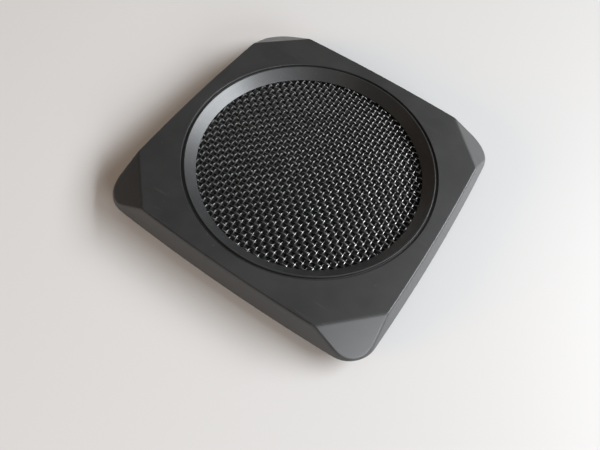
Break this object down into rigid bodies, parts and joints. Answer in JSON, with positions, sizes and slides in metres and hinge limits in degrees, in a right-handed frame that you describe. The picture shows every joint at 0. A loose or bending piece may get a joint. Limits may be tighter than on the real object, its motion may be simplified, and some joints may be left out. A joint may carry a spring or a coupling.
{
  "type": "car tweeter",
  "caption": "Slim square in-car tweeter: clip-on grille cover with a recessed round woven-wire mesh and faceted corners, over a shallow frame holding a dome driver.",
  "frame": {"origin": "centre of the yoke's back face, which is the bottom centre of the bounding box", "axes": "+Z from the driver's back towards the grille; the sides of the square lie along X and Y; the terminals are on the -Y side"},
  "size_m": [0.1032, 0.1032, 0.0125],
  "materials": {
    "bezel_plastic": "satin moulded black-grey ABS with a fine spark-eroded grain",
    "mesh_wire": "black-painted woven steel wire, satin",
    "acoustic_cloth": "matt black open-weave scrim",
    "black_steel": "black electrocoated pressed steel",
    "frame_plastic": "matt black glass-filled plastic",
    "faceplate_plastic": "matt black moulded plastic",
    "gasket_foam": "black closed-cell foam tape",
    "zinc_steel": "bright zinc-plated steel",
    "screw_zinc": "zinc-plated screw steel",
    "spring_steel": "spring steel, satin",
    "magnet_nickel": "nickel-plated neodymium",
    "felt": "black needled felt",
    "surround_rubber": "soft matt black rubber",
    "board_fibre": "brown laminated fibre board",
    "tinned_brass": "tinned brass",
    "capacitor_case": "ochre film-capacitor case",
    "black_insulation": "black PVC insulation",
    "red_insulation": "red PVC insulation",
    "dome_fabric": "coated black silk",
    "former_film": "amber polyimide film",
    "copper_wire": "enamelled copper wire"
  },
  "bodies": {
    "base": {"mounting_frame": "frame_plastic", "panel_gasket": "gasket_foam", "yoke_cup": "zinc_steel", "magnet": "magnet_nickel", "pole_plate": "zinc_steel", "damping_pad": "felt", "driver_faceplate": "faceplate_plastic", "surround": "surround_rubber", "driver_screw_1": "screw_zinc", "driver_screw_2": "screw_zinc", "driver_screw_3": "screw_zinc", "terminal_board": "board_fibre", "series_capacitor": "capacitor_case", "negative_lead": "black_insulation", "positive_lead": "red_insulation", "capacitor_lead": "tinned_brass", "positive_terminal": "tinned_brass", "positive_rivet": "tinned_brass", "positive_coil_tag": "tinned_brass", "negative_terminal": "tinned_brass", "negative_rivet": "tinned_brass", "negative_coil_tag": "tinned_brass"},
    "cover": {"cover_bezel": "bezel_plastic", "wire_mesh": "mesh_wire", "acoustic_cloth": "acoustic_cloth", "mesh_retaining_ring": "black_steel", "ring_screw_1": "screw_zinc", "ring_screw_2": "screw_zinc", "ring_screw_3": "screw_zinc", "ring_screw_4": "screw_zinc", "spring_clip_1": "spring_steel", "spring_clip_2": "spring_steel", "spring_clip_3": "spring_steel", "spring_clip_4": "spring_steel"},
    "diaphragm": {"dome_diaphragm": "dome_fabric", "coil_former": "former_film", "voice_coil": "copper_wire"}
  },
  "joints": [
    {"name": "cover_release", "type": "slide", "parent": "base", "child": "cover", "axis": [0, 0, 1], "range_m": [0, 0.025]},
    {"name": "diaphragm_travel", "type": "slide", "parent": "base", "child": "diaphragm", "axis": [0, 0, 1], "range_m": [-0.00025, 0.00025], "stiffness_N_per_m": 50}
  ]
}
